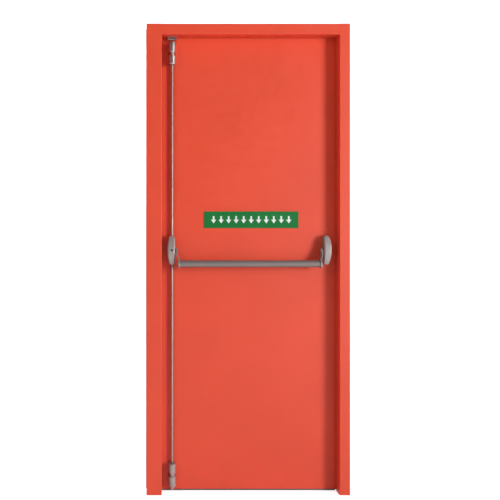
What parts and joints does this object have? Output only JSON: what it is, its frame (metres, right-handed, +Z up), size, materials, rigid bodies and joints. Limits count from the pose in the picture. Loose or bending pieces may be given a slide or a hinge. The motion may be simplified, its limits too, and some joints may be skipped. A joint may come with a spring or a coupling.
{
  "type": "steel exit door with push bar and frame",
  "caption": "Hollow steel exit door in a folded sheet frame, opening outward, with a push bar that draws vertical rods and bolts at its top and bottom.",
  "frame": {"origin": "floor level on the hinge jamb's wall side, in the middle of its room-side wall return", "axes": "+X from the opening towards the hinge-side wall, +Y from the room to the outside, +Z up"},
  "size_m": [0.905, 0.1375, 2.095],
  "materials": {
    "red_paint": "satin powder coat",
    "seal_rubber": "matt black rubber",
    "hinge_steel": "satin steel",
    "washer_brass": "turned brass",
    "silver_paint": "silver enamel on metal",
    "bright_steel": "bright nickel plate",
    "sign_green": "semi-gloss plastic"
  },
  "bodies": {
    "frame": {"hinge_jamb": "red_paint", "lock_jamb": "red_paint", "frame_head": "red_paint", "hinge_jamb_seal": "seal_rubber", "lock_jamb_seal": "seal_rubber", "head_seal": "seal_rubber", "top_keep": "bright_steel", "keep_roller": "bright_steel", "bottom_hinge_frame_half": "hinge_steel", "middle_hinge_frame_half": "hinge_steel", "top_hinge_frame_half": "hinge_steel", "bottom_hinge_washer": "washer_brass", "middle_hinge_washer": "washer_brass", "top_hinge_washer": "washer_brass"},
    "leaf": {"leaf_outer_skin": "red_paint", "leaf_inner_skin": "red_paint", "leaf_top_channel": "red_paint", "leaf_bottom_channel": "red_paint", "lock_case": "silver_paint", "hinge_case": "silver_paint", "lock_case_plate": "silver_paint", "hinge_case_plate": "silver_paint", "top_latch_case": "bright_steel", "bottom_latch_case": "bright_steel", "sign_plate": "sign_green", "bottom_hinge_leaf_half": "hinge_steel", "middle_hinge_leaf_half": "hinge_steel", "top_hinge_leaf_half": "hinge_steel"},
    "push_bar": {"push_bar_tube": "silver_paint", "lock_arm": "silver_paint", "hinge_arm": "silver_paint"},
    "top_rod": {"top_rod": "bright_steel", "top_bolt": "bright_steel"},
    "bottom_rod": {"bottom_rod": "bright_steel", "bottom_bolt": "bright_steel"}
  },
  "joints": [
    {"name": "leaf_swing", "type": "hinge", "parent": "frame", "child": "leaf", "pos_m": [-0.0315, 0.1065, 1.05], "axis": [0, 0, -1], "range_deg": [0, 110]},
    {"name": "bar_push", "type": "hinge", "parent": "leaf", "child": "push_bar", "pos_m": [-0.445, 0.02, 1.088], "axis": [1, 0, 0], "range_deg": [0, 20], "stiffness_Nm_per_rad": 4, "springref_deg": -28.65},
    {"name": "top_rod_slide", "type": "slide", "parent": "leaf", "child": "top_rod", "axis": [0, 0, -1], "range_m": [0, 0.012]},
    {"name": "bottom_rod_slide", "type": "slide", "parent": "leaf", "child": "bottom_rod", "axis": [0, 0, 1], "range_m": [0, 0.012]}
  ],
  "couplings": [
    {"joint": "top_rod_slide", "follows": "bar_push", "m_per_rad": 0.0343},
    {"joint": "bottom_rod_slide", "follows": "bar_push", "m_per_rad": 0.0343}
  ]
}
